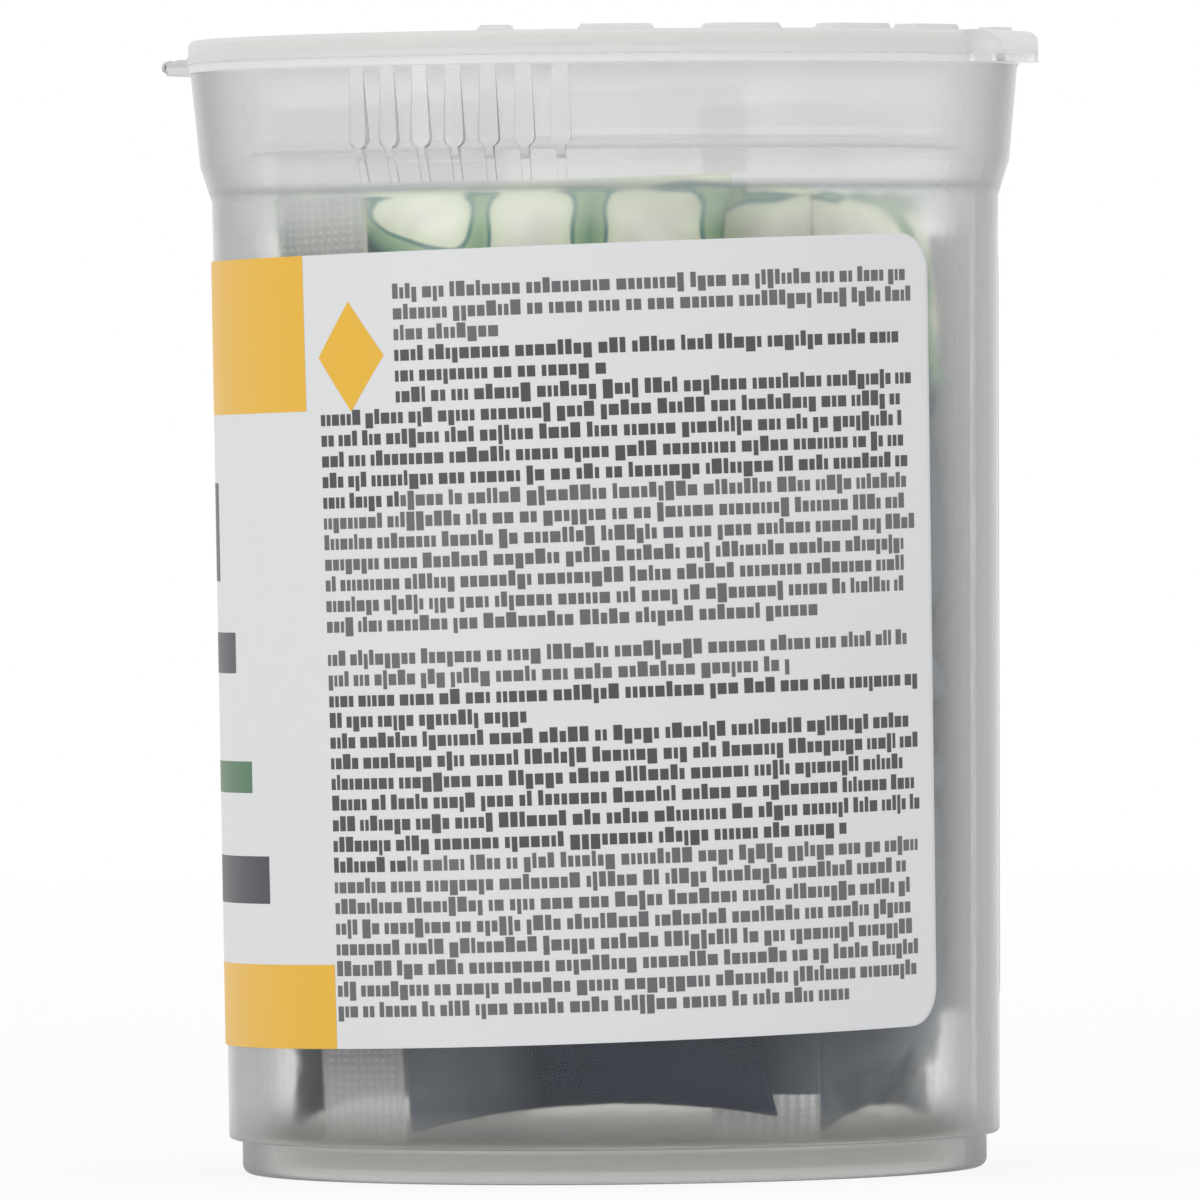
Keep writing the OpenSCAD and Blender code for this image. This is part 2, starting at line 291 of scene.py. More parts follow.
def rib_share(nodes, place):
    """1 where the surface stands proud of the collar's cone, as the grip ribs do, and 0 elsewhere."""
    flat = nodes.add("ShaderNodeVectorMath", operation="LENGTH")
    axis = nodes.add("ShaderNodeCombineXYZ")
    nodes.link(place.outputs["X"], axis.inputs["X"])
    nodes.link(place.outputs["Y"], axis.inputs["Y"])
    nodes.link(axis.outputs["Vector"], flat.inputs[0])
    height = place.outputs["Z"]
    cone = nodes.maths("MULTIPLY", nodes.maths("SUBTRACT", height, COLLAR_Z * MM), math.tan(COLLAR_DRAFT))
    proud = nodes.maths("SUBTRACT", flat.outputs["Value"], nodes.maths("ADD", cone, COLLAR_R * MM))
    above = nodes.maths("GREATER_THAN", height, RIB_FROM_Z * MM)
    return nodes.maths("MULTIPLY", nodes.maths("GREATER_THAN", proud, RIB_PROUD * MM), above)


def edge_share(nodes):
    """0 where the wall faces the eye and 1 where it is seen edge on."""
    facing = nodes.add("ShaderNodeLayerWeight").outputs["Facing"]
    return nodes.spread(facing, *EDGE_FACING, kind="SMOOTHSTEP")


def hazy_plastic(name, zones, wall=False):
    """Milky polypropylene: frosted glass under a thin veil of scattered light."""
    nodes = Nodes(name, IOR=PLASTIC_IOR)
    place = nodes.add("ShaderNodeSeparateXYZ")
    nodes.link(nodes.add("ShaderNodeTexCoord").outputs["Object"], place.inputs["Vector"])
    share = nodes.maths("DIVIDE", place.outputs["Z"], VEIL_SPAN * MM)
    clear = height_ramp(nodes, share, [(zone.height, (1 - zone.veil,) * 3) for zone in zones])
    tint = height_ramp(nodes, share, [(zone.height, zone.tint) for zone in zones])
    if wall:
        rib = rib_share(nodes, place)
        below_rim = nodes.maths("LESS_THAN", place.outputs["Z"], RIM_Z * MM)
        edge = nodes.maths("MULTIPLY", edge_share(nodes), below_rim)
        clear = nodes.maths("SUBTRACT", clear, nodes.maths("MULTIPLY", rib, RIB_VEIL))
        clear = nodes.maths("SUBTRACT", clear, nodes.maths("MULTIPLY", edge, EDGE_VEIL))
        tint = nodes.mix(rib, tint, RIB_TINT)
        # Painted shade: the wall is tinted darker where it is seen edge on
        tint = nodes.mix(nodes.maths("MULTIPLY", edge, EDGE_SHADE_SHARE), tint, EDGE_SHADE_TINT)
    nodes.link(nodes.maths("MAXIMUM", clear, 0), nodes.shader.inputs["Transmission Weight"])
    nodes.link(tint, nodes.shader.inputs["Base Color"])
    rough = height_ramp(nodes, share, [(zone.height, (zone.rough,) * 3) for zone in zones])
    nodes.link(rough, nodes.shader.inputs["Roughness"])
    nodes.grain(*PLASTIC_GRAIN)
    depth = nodes.add("ShaderNodeVolumeAbsorption")
    depth.inputs["Color"].default_value = DEPTH_TINT
    depth.inputs["Density"].default_value = DEPTH_DENSITY
    nodes.link(depth.outputs["Volume"], nodes.output.inputs["Volume"])
    path = nodes.add("ShaderNodeLightPath")
    passes = nodes.maths("MAXIMUM", path.outputs["Is Shadow Ray"], path.outputs["Is Diffuse Ray"])
    through = nodes.add("ShaderNodeBsdfTransparent")
    through.inputs["Color"].default_value = PASS_TINT
    mix = nodes.add("ShaderNodeMixShader")
    nodes.link(passes, mix.inputs["Fac"])
    nodes.link(nodes.shader.outputs["BSDF"], mix.inputs[1])
    nodes.link(through.outputs["BSDF"], mix.inputs[2])
    nodes.link(mix.outputs["Shader"], nodes.output.inputs["Surface"])
    return nodes.material


PAPER_TINT = (0.77, 0.775, 0.785)
PAPER_ROUGH = 0.5
INK_ROUGH = 0.42


def paper(name, tint, rough):
    """The label's paper, bare or under ink."""
    nodes = Nodes(name, Base_Color=(*tint, 1), Roughness=rough)
    nodes.grain(*PAPER_GRAIN)
    return nodes.material


def set_material(obj, *materials):
    obj.data.materials.clear()
    for material in materials:
        obj.data.materials.append(material)


# Label

def label_point(angle, height, proud=0.0):
    """The place on the tub's body of a point of the label, which lies slightly skewed."""
    r = body_r(LABEL_MID_Z + height)
    skew_axis = Vector((math.cos(math.radians(LABEL_SKEW_DIR)), math.sin(math.radians(LABEL_SKEW_DIR)), 0))
    turn = Matrix.Rotation(math.radians(LABEL_SKEW), 3, skew_axis)
    flat = Vector((r * math.cos(math.radians(angle)), r * math.sin(math.radians(angle)), height))
    point = turn @ flat + Vector((0, 0, LABEL_MID_Z))
    across = Vector((point.x, point.y)).normalized() * (body_r(point.z) + LABEL_GLUE + proud)
    return Vector((across.x, across.y, point.z))


def corner_inset(height):
    """How far the label's end stands back at this height, because its corners are round."""
    into = abs(height) - (LABEL_H / 2 - LABEL_CORNER)
    if into <= 0:
        return 0.0
    return LABEL_CORNER - math.sqrt(max(0.0, LABEL_CORNER ** 2 - into ** 2))


def label_heights(corner_steps=10, middle_steps=30):
    """Heights of the label's rows from its middle, closer together at the round corners."""
    flat = LABEL_H / 2 - LABEL_CORNER
    turns = [math.radians(90 * i / corner_steps) for i in range(1, corner_steps + 1)]
    corner = [flat + LABEL_CORNER * math.sin(turn) for turn in turns]
    middle = [flat * (2 * i / middle_steps - 1) for i in range(middle_steps + 1)]
    return [-h for h in reversed(corner)] + middle + corner


def make_label(columns=300):
    """The printed sticker, as a thin closed sheet round the body."""
    heights = label_heights()
    mid_r = body_r(LABEL_MID_Z)
    points = []
    for proud in (LABEL_T, 0.0):
        for height in heights:
            end = math.degrees(math.asin((LABEL_GAP / 2 + corner_inset(height)) / mid_r))
            for i in range(columns):
                angle = LABEL_GAP_DIR + end + (360 - 2 * end) * i / (columns - 1)
                points.append(label_point(angle, height, proud))
    label = add_object("label_sheet", points, sheet_faces(columns, len(heights)))
    set_material(label, paper("label_paper", PAPER_TINT, PAPER_ROUGH))
    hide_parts("label")
    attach(label, "tub")


# Print: plain bars and fields, with nothing to read
INK_PROUD = LABEL_T + 0.012
INK_STEP = 0.8


def print_patch(points, faces, start, end, low, high):
    """Adds a field of colour between two angles and two heights of the label."""
    columns = max(2, math.ceil(math.radians(end - start) * body_r(LABEL_MID_Z) / INK_STEP) + 1)
    first = len(points)
    for height in (low, high):
        for i in range(columns):
            points.append(label_point(start + (end - start) * i / (columns - 1), height, INK_PROUD))
    faces += grid_faces(columns, 2, first)


def to_angle(length):
    return math.degrees(length / body_r(LABEL_MID_Z))


class Passage(NamedTuple):
    """Lines of greeked text in one weight; last is the share of the line that the last one fills."""

    lines: int
    bold: bool
    last: float = 1.0
    indent: float = 0.0
    opening: float = 0.0


SMALL_PRINT = [
    Passage(3, False, 0.22, indent=7.4),
    Passage(2, True, 0.4, indent=7.4),
    Passage(1, True, 1, indent=7.4),
    Passage(4, True, 0.98),
    Passage(7, False, 0.8, opening=7),
]
SECOND_PRINT = [
    Passage(2, False, 0.75),
    Passage(2, True, 0.35),
    Passage(6, True, 0.85),
    Passage(8, False, 0.84, opening=7),
]
LINE_PITCH = 1.56
PASSAGE_GAP = 0.6 * LINE_PITCH
X_HEIGHT = 0.84
# Some blocks rise or drop this much past the line of the others: the shares that do
RISE = 0.3
RISE_SHARE = 0.24
DROP_SHARE = 0.1
BLOCKS_MOST = 9
BLOCK_WIDTHS = (0.3, 0.78)
BLOCK_GAP = 0.15
WORD_GAP = 0.5
# A full line fills a share of its column between these
LINE_FILL = (0.96, 1)
PRINT_SEED = 7


def print_line(rng, inks, start, length, base, bold, opening=0.0):
    """One line of greeked words, each a run of plain blocks, from the angle start."""
    at, left = 0.0, rng.randint(2, BLOCKS_MOST)
    while at < length - BLOCK_WIDTHS[1]:
        heavy = bold or at < opening
        points, faces = inks["bold" if heavy else "plain"]
        width = rng.uniform(*BLOCK_WIDTHS)
        high = X_HEIGHT + (RISE if rng.random() < RISE_SHARE else 0)
        low = -RISE if rng.random() < DROP_SHARE else 0
        ends = (start + to_angle(at), start + to_angle(at + width))
        print_patch(points, faces, *ends, base + low, base + high)
        left -= 1
        at += width + (BLOCK_GAP if left else WORD_GAP)
        left = left or rng.randint(2, BLOCKS_MOST)


def print_column(rng, inks, start, width, top, passages):
    """A column of greeked passages; gives the height under its last line."""
    height = top
    for passage in passages:
        for line in range(passage.lines):
            room = width - passage.indent
            length = room * (passage.last if line == passage.lines - 1 else rng.uniform(*LINE_FILL))
            opening = passage.opening if line == 0 else 0
            print_line(rng, inks, start + to_angle(passage.indent), length, height, passage.bold, opening)
            height -= LINE_PITCH
    return height


def print_lozenge(points, faces, angle, height, half_w, half_h, steps=12, rings=6):
    """A plain filled lozenge, in small faces that follow the label's curve."""
    corners = [(1, 0), (0, 1), (-1, 0), (0, -1)]
    sides = list(zip(corners, corners[1:] + corners[:1]))
    count = len(sides) * steps
    first = len(points)
    for ring in range(rings, 0, -1):
        wide, high = half_w * ring / rings, half_h * ring / rings
        for (x0, y0), (x1, y1) in sides:
            for step in range(steps):
                x, y = (a + (b - a) * step / steps for a, b in ((x0, x1), (y0, y1)))
                points.append(label_point(angle + to_angle(x * wide), height + y * high, INK_PROUD))
    for at in range(first, first + (rings - 1) * count, count):
        for i in range(count):
            j = (i + 1) % count
            faces.append((at + i, at + j, at + count + j, at + count + i))
    faces.append(tuple(range(first + (rings - 1) * count, first + rings * count)))


# Angles of the label's panels, and heights on it from its middle
FRONT_FROM = -248.5
FRONT_TO = -117.3
BACK_TEXT_FROM = -114.2
TEXT_W = 50.5
TEXT_TOP = 26.4
SIDE_TEXT_FROM = 29
SIDE_TEXT_W = 40.5
BAND_LOW = 18.2
FOOT_BAND_TOP = -23.6
# The band at the foot reaches this many degrees past the front panel
FOOT_BAND_PAST = 2.6
# The lozenge at the head of a column: its middle along and up the label, and half its width and height
LOZENGE_AT = (3.2, 22.2)
LOZENGE_HALF = (3.25, 4.15)

INKS = {
    "plain": (0.135, 0.135, 0.145),
    "bold": (0.07, 0.07, 0.075),
    "orange": (0.85, 0.49, 0.04),
    "green": (0.05, 0.16, 0.07),
    "heading": (0.035, 0.04, 0.05),
}


class Bar(NamedTuple):
    """A bar in the middle of the front panel; past is how many degrees its end reaches on."""

    ink: str
    width: float
    low: float
    high: float
    past: float = 0.0


BARS = [
    Bar("heading", 34, 5.5, 13),
    Bar("heading", 44, -1.5, 1.6),
    Bar("green", 50, -10.6, -8.2),
    Bar("heading", 50, -19, -15.4, past=5),
]


def make_print():
    rng = random.Random(PRINT_SEED)
    inks = {name: ([], []) for name in INKS}
    for start, width in ((BACK_TEXT_FROM, TEXT_W), (SIDE_TEXT_FROM, SIDE_TEXT_W)):
        under = print_column(rng, inks, start, width, TEXT_TOP, SMALL_PRINT)
        print_column(rng, inks, start, width, under - PASSAGE_GAP, SECOND_PRINT)
        along, up = LOZENGE_AT
        print_lozenge(*inks["orange"], start + to_angle(along), up, *LOZENGE_HALF)
    print_patch(*inks["orange"], FRONT_FROM, FRONT_TO, BAND_LOW, LABEL_H / 2)
    print_patch(*inks["orange"], FRONT_FROM, FRONT_TO + FOOT_BAND_PAST, -LABEL_H / 2, FOOT_BAND_TOP)
    middle = (FRONT_FROM + FRONT_TO) / 2
    for bar in BARS:
        half = to_angle(bar.width / 2)
        print_patch(*inks[bar.ink], middle - half, middle + half + bar.past, bar.low, bar.high)
    for name, (points, faces) in inks.items():
        obj = add_object("print_" + name, points, faces)
        set_material(obj, paper("ink_" + name, INKS[name], INK_ROUGH))
        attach(obj, "tub")


# Pods

class Pod(NamedTuple):
    """Where a pod stands: its direction, its seal's fold and its lean in degrees, and its seed.

    After the seed comes the place across it left of which the liquid takes a lighter slate, a painted
    reflection; right of there it is at its darkest.
    Wet is how far the liquid has crept between the films of its side seal.
    """

    node: str
    direction: float
    fold: float
    lean: float
    seed: int
    reflection_edge: float
    wet: float = 0.0


PODS = [
    Pod("pod_1", -77, 40, 2.2, 3, reflection_edge=-2),
    Pod("pod_2", 2, 85, 0, 5, reflection_edge=16, wet=7.2),
    Pod("pod_3", 180, 40, -1.2, 8, reflection_edge=-6),
]
PILLOW_COLUMNS = 31
PILLOW_ROWS = 73
# The simulation starts from a pillow this full, with its film this uneven
START_FULLNESS = 0.7
FILM_UNEVEN = (0.02, 0.2)
# The cloth is simulated this many times larger than life, because Blender's cloth is tuned for metres
CLOTH_SCALE = 20
CLOTH_FRAMES = 24
CLOTH_QUALITY = 6
CLOTH_SPARE = 0.055
CLOTH_PRESSURE = 2.0
STRETCH_STIFFNESS = 25
SHEAR_STIFFNESS = 8
BENDING_STIFFNESS = 0.4
# No point of the film goes under this height
LOWEST_UP = 0.1
# How far a filled pouch draws in at the middle of its free side and of its foot
SIDE_DRAW = 1.9
FOOT_DRAW = 1.7


def drawn_in(across, up):
    """The place of a point of the flat pouch once its free side and foot have drawn in."""
    along, over = across / POD_W + 0.5, up / PILLOW_H
    side = SIDE_DRAW * (1 - abs(2 * over - 1) ** 5) * along
    foot = FOOT_DRAW * (1 - (2 * along - 1) ** 2) * (1 - over) ** 6
    return across - side, up + foot


def half_thickness(across, up):
    """Half of the full pillow's thickness at a place on it."""
    lens = max(0.0, 1 - (2 * across / POD_W) ** 2)
    from_end = min(up, PILLOW_H - up) / PILLOW_TAPER
    end = 1.0 if from_end >= 1 else 1 - (1 - from_end) ** 2
    return POD_T / 2 * lens * end


def pillow_mesh(name, fullness, rng):
    """A closed pillow of two layers of film that share their outline; also gives the outline's vertices."""
    columns, rows = PILLOW_COLUMNS, PILLOW_ROWS
    points, place = [], {}
    for side in (1, -1):
        for row in range(rows):
            for column in range(columns):
                edge = row in (0, rows - 1) or column in (0, columns - 1)
                if side < 0 and edge:
                    place[side, row, column] = place[1, row, column]
                    continue
                across = POD_W * (column / (columns - 1) - 0.5)
                up = PILLOW_H * row / (rows - 1)
                uneven = 0 if edge else rng.uniform(*FILM_UNEVEN)
                out = side * (fullness * half_thickness(across, up) + uneven)
                place[side, row, column] = len(points)
                across, up = drawn_in(across, up)
                points.append((out, across, FILM_EDGE + up))
    faces = []
    for side in (1, -1):
        for row in range(rows - 1):
            for column in range(columns - 1):
                face = tuple(
                    place[side, row + r, column + c] for r, c in ((0, 0), (0, 1), (1, 1), (1, 0))
                )
                faces.append(face if side > 0 else tuple(reversed(face)))
    held = sorted(
        {place[1, row, column] for row in range(rows) for column in (0, columns - 1)}
        | {place[1, row, column] for row in (0, rows - 1) for column in range(columns)}
    )
    return add_object(name, points, faces), held


def inflate(obj, held):
    """Lets the film swell under pressure from its welded edges, and keeps it inside the pod's space."""
    obj.scale = (CLOTH_SCALE,) * 3
    bpy.context.view_layer.update()
    obj.data.transform(obj.matrix_world)
    obj.scale = (1, 1, 1)
    group = obj.vertex_groups.new(name="held")
    group.add(held, 1, "REPLACE")
    cloth = obj.modifiers.new("film", "CLOTH")
    settings = cloth.settings
    settings.quality = CLOTH_QUALITY
    settings.vertex_group_mass = "held"
    settings.tension_stiffness = settings.compression_stiffness = STRETCH_STIFFNESS
    settings.shear_stiffness = SHEAR_STIFFNESS
    settings.bending_stiffness = BENDING_STIFFNESS
    settings.shrink_min = -CLOTH_SPARE
    settings.use_pressure = True
    settings.uniform_pressure_force = CLOTH_PRESSURE
    settings.effector_weights.gravity = 0
    cloth.point_cache.frame_start = 1
    cloth.point_cache.frame_end = CLOTH_FRAMES
    for step in range(1, CLOTH_FRAMES + 1):
        bpy.context.scene.frame_set(step)
    apply_modifiers(obj)
    bpy.context.scene.frame_set(1)
    obj.vertex_groups.clear()
    back = 1 / (CLOTH_SCALE * MM)
    for vertex in obj.data.vertices:
        out, across, up = vertex.co * back
        out = max(-POD_T / 2, min(POD_T / 2, out))
        across = max(-POD_W / 2 - FILM_EDGE, min(POD_W / 2 + FILM_EDGE, across))
        up = max(LOWEST_UP, min(SACHET_H, up))
        vertex.co = Vector((out, across, up)) * MM


def smooth_once(obj):
    obj.modifiers.new("smooth", "SUBSURF").levels = 1
    apply_modifiers(obj)
    obj.data.shade_smooth()


SEAL_STEP = 0.5
# How far the welded film runs in under the pillow's edge
SEAL_LAP = 0.3
# Waves of the loose film above the pouch and beside it: how far they stand out, and their length
TOP_WAVE, TOP_WAVE_LENGTH = 0.45, 15
SIDE_WAVE, SIDE_WAVE_LENGTH = 0.16, 17
SIDE_WAVE_FROM = 3
# The wet part of a side seal starts this high
WET_FOOT = 4.0


def middle_of(places):
    """The mean of some places across and up the film."""
    return [sum(values) / len(places) for values in zip(*places)]


def seal_mesh(name, pod, rng, seal, liquid):
    """The welded film beside and above the pillow: a thin sheet, its side seal folded inwards."""
    left = -POD_W / 2 - FILM_EDGE - SIDE_SEAL_W
    right = POD_W / 2 + FILM_EDGE
    columns = round((right - left) / SEAL_STEP) + 1
    rows = round(SACHET_H / SEAL_STEP) + 1
    fold = math.radians(pod.fold)
    phase = rng.uniform(0, math.tau)
    crease = -POD_W / 2 - FILM_EDGE
    points, welds = [], []
    for row in range(rows):
        up = SACHET_H * row / (rows - 1)
        loose = max(0.0, (up - FILM_EDGE - PILLOW_H) / TOP_SEAL_H)
        for column in range(columns):
            across = left + (right - left) * column / (columns - 1)
            past = max(0.0, crease - across)
            wave = TOP_WAVE * loose * math.sin(across * math.tau / TOP_WAVE_LENGTH + phase)
            side = SIDE_WAVE * min(1, past / SIDE_WAVE_FROM)
            wave += side * math.sin(up * math.tau / SIDE_WAVE_LENGTH + 2 * phase)
            points.append((wave - past * math.sin(fold), max(across, crease) - past * math.cos(fold), up))
            welds.append((across, up))
    faces = []
    for face in grid_faces(columns, rows):
        across, up = middle_of([welds[i] for i in face])
        if across < -POD_W / 2 + SEAL_LAP or up > FILM_EDGE + PILLOW_H - SEAL_LAP:
            faces.append(face)
    obj = add_object(name, points, faces)
    film = obj.data.uv_layers.new(name="film")
    for loop in obj.data.loops:
        film.data[loop.index].uv = welds[loop.vertex_index]
    depth = obj.data.attributes.new("liquid", "FLOAT", "POINT")
    depth.data.foreach_set("value", [liquid_field(pod, across, up) for across, up in welds])
    set_material(obj, seal, liquid)
    for face in obj.data.polygons if pod.wet else ():
        across, up = middle_of([welds[i] for i in face.vertices])
        if crease - pod.wet < across < crease + SEAL_STEP and WET_FOOT < up < PILLOW_H + FILM_EDGE:
            face.material_index = 1
    solid = obj.modifiers.new("film", "SOLIDIFY")
    solid.thickness = FILM_T * MM
    solid.offset = 0
    apply_modifiers(obj)
    return obj


class Pocket(NamedTuple):
    """A pocket of air in a pod: a rounded box between these places across and up it.

    Slope is how much its lower side rises along it.
    """

    left: float
    right: float
    low: float
    high: float = 71.4
    corner: float = 1.6
    slope: float = 0.0


# The film's upper edge, dry over the line that the liquid leaves there
DRY_EDGE = Pocket(-20, 16, 71.75, 76, 0.3)


POCKETS = {
    "pod_1": [
        DRY_EDGE,
        Pocket(-13.8, -5.4, 67.9, 71.55, 1.7, -0.3),
        Pocket(-4.5, 2.4, 60.5, 71.45),
        Pocket(4.4, 11.7, 62, 71.15),
    ],
    "pod_2": [DRY_EDGE, Pocket(-21.3, -0.8, 65.5, 71.5, 2.4), Pocket(2.4, 13.4, 58.5, 71.1, 2.6)],
    "pod_3": [DRY_EDGE, Pocket(-12.5, -1, 60), Pocket(0.6, 12, 58)],
}
DEEP = 6.0
# Left of that place the liquid counts as this deep, which gives it a lighter slate as a painted reflection,
# and the change is spread over this width
REFLECTION_DEPTH = 3.0
REFLECTION_SPREAD = 5.0
# The pockets' edges sway in and out by this much, at this rate up and across the pod
SWAY_UP, SWAY_UP_RATE = 0.22, 0.9
SWAY_ACROSS, SWAY_ACROSS_RATE = 0.18, 0.8


def liquid_field(pod, across, up):
    """How far a place is into the liquid, in millimetres, and under 0 in a pocket of air."""
    nearest = DEEP
    for pocket in POCKETS[pod.node]:
        middle, half = (pocket.left + pocket.right) / 2, (pocket.right - pocket.left) / 2
        low = pocket.low + pocket.slope * (across - middle)
        centre, tall = (low + pocket.high) / 2, (pocket.high - low) / 2
        sway = SWAY_UP * math.sin(up * SWAY_UP_RATE + pod.seed)
        sway += SWAY_ACROSS * math.sin(across * SWAY_ACROSS_RATE + 2 * pod.seed)
        x = abs(across - middle) - half + pocket.corner + sway
        y = abs(up - centre) - tall + pocket.corner + sway
        outside = math.hypot(max(x, 0), max(y, 0)) + min(max(x, y), 0) - pocket.corner
        nearest = min(nearest, outside)
    # Painted reflection: the share of the lighter slate, rising to the left of the place that the pod gives
    thin = min(1.0, max(0.0, (pod.reflection_edge - across) / REFLECTION_SPREAD))
    return max(-DEEP / 2, min(nearest, DEEP - thin * (DEEP - REFLECTION_DEPTH)))


# Colours by depth in the liquid: cream over air, a teal edge, green where thin and slate where deep; the
# lighter slate at 3 is painted reflection
LIQUID_STOPS = [
    (-2.5, (1.0, 1.0, 0.86)),
    (-0.9, (0.94, 0.98, 0.76)),
    (-0.2, (0.84, 0.9, 0.66)),
    (-0.05, (0.12, 0.27, 0.25)),
    (0.1, (0.12, 0.3, 0.25)),
    (0.3, (0.42, 0.58, 0.34)),
    (1.0, (0.27, 0.45, 0.27)),
    (2.0, (0.05, 0.11, 0.11)),
    (3.0, (0.09, 0.11, 0.135)),
    (5.0, (0.001, 0.012, 0.038)),
]
LIQUID_SPAN = 1.5 * DEEP
# Clouds in the liquid: their noise's scale, the range of it that they take, their share and their tint
CLOUD_SCALE = 150
CLOUD_RANGE = (0.42, 0.68)
CLOUD_SHARE = 0.4
CLOUD_TINT = (0.55, 0.55, 0.52)


def pod_liquid():
    """Dark liquid and its pockets of air, under glossy film."""
    nodes = Nodes("pod_liquid", Roughness=0.25, IOR=1.36, Specular_IOR_Level=0.25)
    depth = nodes.add("ShaderNodeAttribute", attribute_name="liquid")
    share = nodes.maths("DIVIDE", nodes.maths("ADD", depth.outputs["Fac"], DEEP / 2), LIQUID_SPAN)
    colour = nodes.ramp(share, [((at + DEEP / 2) / LIQUID_SPAN, tint) for at, tint in LIQUID_STOPS])
    cloud = nodes.spread(nodes.noise(CLOUD_SCALE), *CLOUD_RANGE, high=CLOUD_SHARE)
    nodes.link(nodes.mix(cloud, colour, CLOUD_TINT, "MULTIPLY"), nodes.shader.inputs["Base Color"])
    nodes.grain(*FILM_GRAIN)
    return nodes.material


BEAD_COLUMN = 0.85
BEAD_ROW = 0.6
# How much the welded film covers: beside the pouch, less on a bead, and above the pouch
SIDE_COVER = 0.56
BEAD_CLEAR = 0.1
TOP_COVER = 0.14
# How far a bead stands out in metres, and the colours between the beads and on them; the lighter colour on
# them is a painted highlight
BEAD_RISE = 0.0003
BEAD_HIGHLIGHT_STOPS = [(0.15, (0.66, 0.67, 0.65)), (0.7, (1, 1, 0.98))]


def pod_seal():
    """Frosted welded film, half see-through, with rows of pressed beads."""
    nodes = Nodes("pod_seal", Roughness=0.35, IOR=1.46)
    place = nodes.add("ShaderNodeSeparateXYZ")
    nodes.link(nodes.add("ShaderNodeUVMap", uv_map="film").outputs["UV"], place.inputs["Vector"])
    across = nodes.maths("SINE", nodes.maths("MULTIPLY", place.outputs["X"], math.tau / BEAD_COLUMN))
    up = nodes.maths("SINE", nodes.maths("MULTIPLY", place.outputs["Y"], math.tau / BEAD_ROW))
    column = nodes.maths("ADD", nodes.maths("MULTIPLY", across, 0.5), 0.5)
    bead = nodes.maths("MULTIPLY", column, nodes.maths("ADD", nodes.maths("MULTIPLY", up, 0.3), 0.7))
    beside = nodes.maths("LESS_THAN", place.outputs["X"], -POD_W / 2)
    beside = nodes.maths("MULTIPLY", beside, nodes.maths("LESS_THAN", place.outputs["Y"], PILLOW_H))
    bead = nodes.maths("MULTIPLY", bead, beside)
    nodes.bump(bead, BEAD_RISE)
    # Painted highlight: the beads are coloured lighter than the film between them
    nodes.link(nodes.ramp(bead, BEAD_HIGHLIGHT_STOPS), nodes.shader.inputs["Base Color"])
    cover = nodes.maths("SUBTRACT", SIDE_COVER, nodes.maths("MULTIPLY", bead, BEAD_CLEAR))
    cover = nodes.maths("MULTIPLY", cover, beside)
    nodes.link(nodes.maths("MAXIMUM", cover, TOP_COVER), nodes.shader.inputs["Alpha"])
    return nodes.material


def pod_place(pod):
    """Where the part puts a pod, as a matrix in metres."""
    lean = math.radians(pod.lean)
    reach = POD_W / 2 + FILM_EDGE + SIDE_SEAL_W * math.cos(math.radians(pod.fold))
    lift = POD_REST_Z + reach * math.sin(abs(lean))
    return (
        Matrix.Rotation(math.radians(pod.direction), 4, "Z")
        @ Matrix.Translation(Vector((POD_SEAT, 0, lift + SACHET_H / 2)) * MM)
        @ Matrix.Rotation(lean, 4, "X")
        @ Matrix.Translation(Vector((0, 0, -SACHET_H / 2)) * MM)
    )


def make_pod(pod, liquid, seal):
    rng = random.Random(pod.seed)
    pillow, held = pillow_mesh(pod.node + "_pillow", START_FULLNESS, rng)
    inflate(pillow, held)
    smooth_once(pillow)
    depth = pillow.data.attributes.new("liquid", "FLOAT", "POINT")
    depth.data.foreach_set(
        "value", [liquid_field(pod, v.co.y / MM, v.co.z / MM) for v in pillow.data.vertices]
    )
    set_material(pillow, liquid)
    film = seal_mesh(pod.node + "_seal", pod, rng, seal, liquid)
    with bpy.context.temp_override(active_object=pillow, selected_editable_objects=[pillow, film]):
        bpy.ops.object.join()
    pillow.name = pod.node + "_sachet"
    pillow.data.transform(pod_place(pod))
    pillow.data.shade_smooth()
    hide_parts(pod.node)
    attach(pillow, "tub")


# Hinge web
WEB_T = 0.22
WEB_BULGE = 0.28
# The fold runs round a core of this radius, whose middle stands this far in from the hinge's line
WEB_CORE = 0.2
WEB_IN = 0.32
# Its ripples and the unevenness on them, which roughen the fold
WEB_RIPPLE, WEB_RIPPLE_RATE = 0.07, 2.3
WEB_RAGGED = 0.03
WEB_SEED = 11


def make_hinge_web(plastic, columns=45, rows=13):
    """The thin bending strip between the two ears, its outer fold slightly ragged."""
    rng = random.Random(WEB_SEED)
    points = []
    for side in (0, 1):
        for row in range(rows):
            turn = math.pi * row / (rows - 1)
            for column in range(columns):
                y = EAR_W * (column / (columns - 1) - 0.5)
                bulge = WEB_BULGE + WEB_RIPPLE * math.sin(y * WEB_RIPPLE_RATE)
                r = WEB_CORE + bulge + rng.uniform(-WEB_RAGGED, WEB_RAGGED) - side * WEB_T
                points.append((HINGE_X + WEB_IN - r * math.sin(turn), y, HINGE_Z - r * math.cos(turn)))
    web = add_object("hinge_web", points, sheet_faces(columns, rows))
    set_material(web, plastic)
    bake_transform(web)


# Camera, floor and light. Distances in metres and angles in degrees
CAMERA_AZIMUTH = 21
CAMERA_AWAY = 1.33
CAMERA_HEIGHT = 0.0574
CAMERA_ROLL = 0.585
FOCAL_PX = 17360
HORIZON_PX = 180
AIM_SIDE = -0.0007
FAR_CLIP = 50


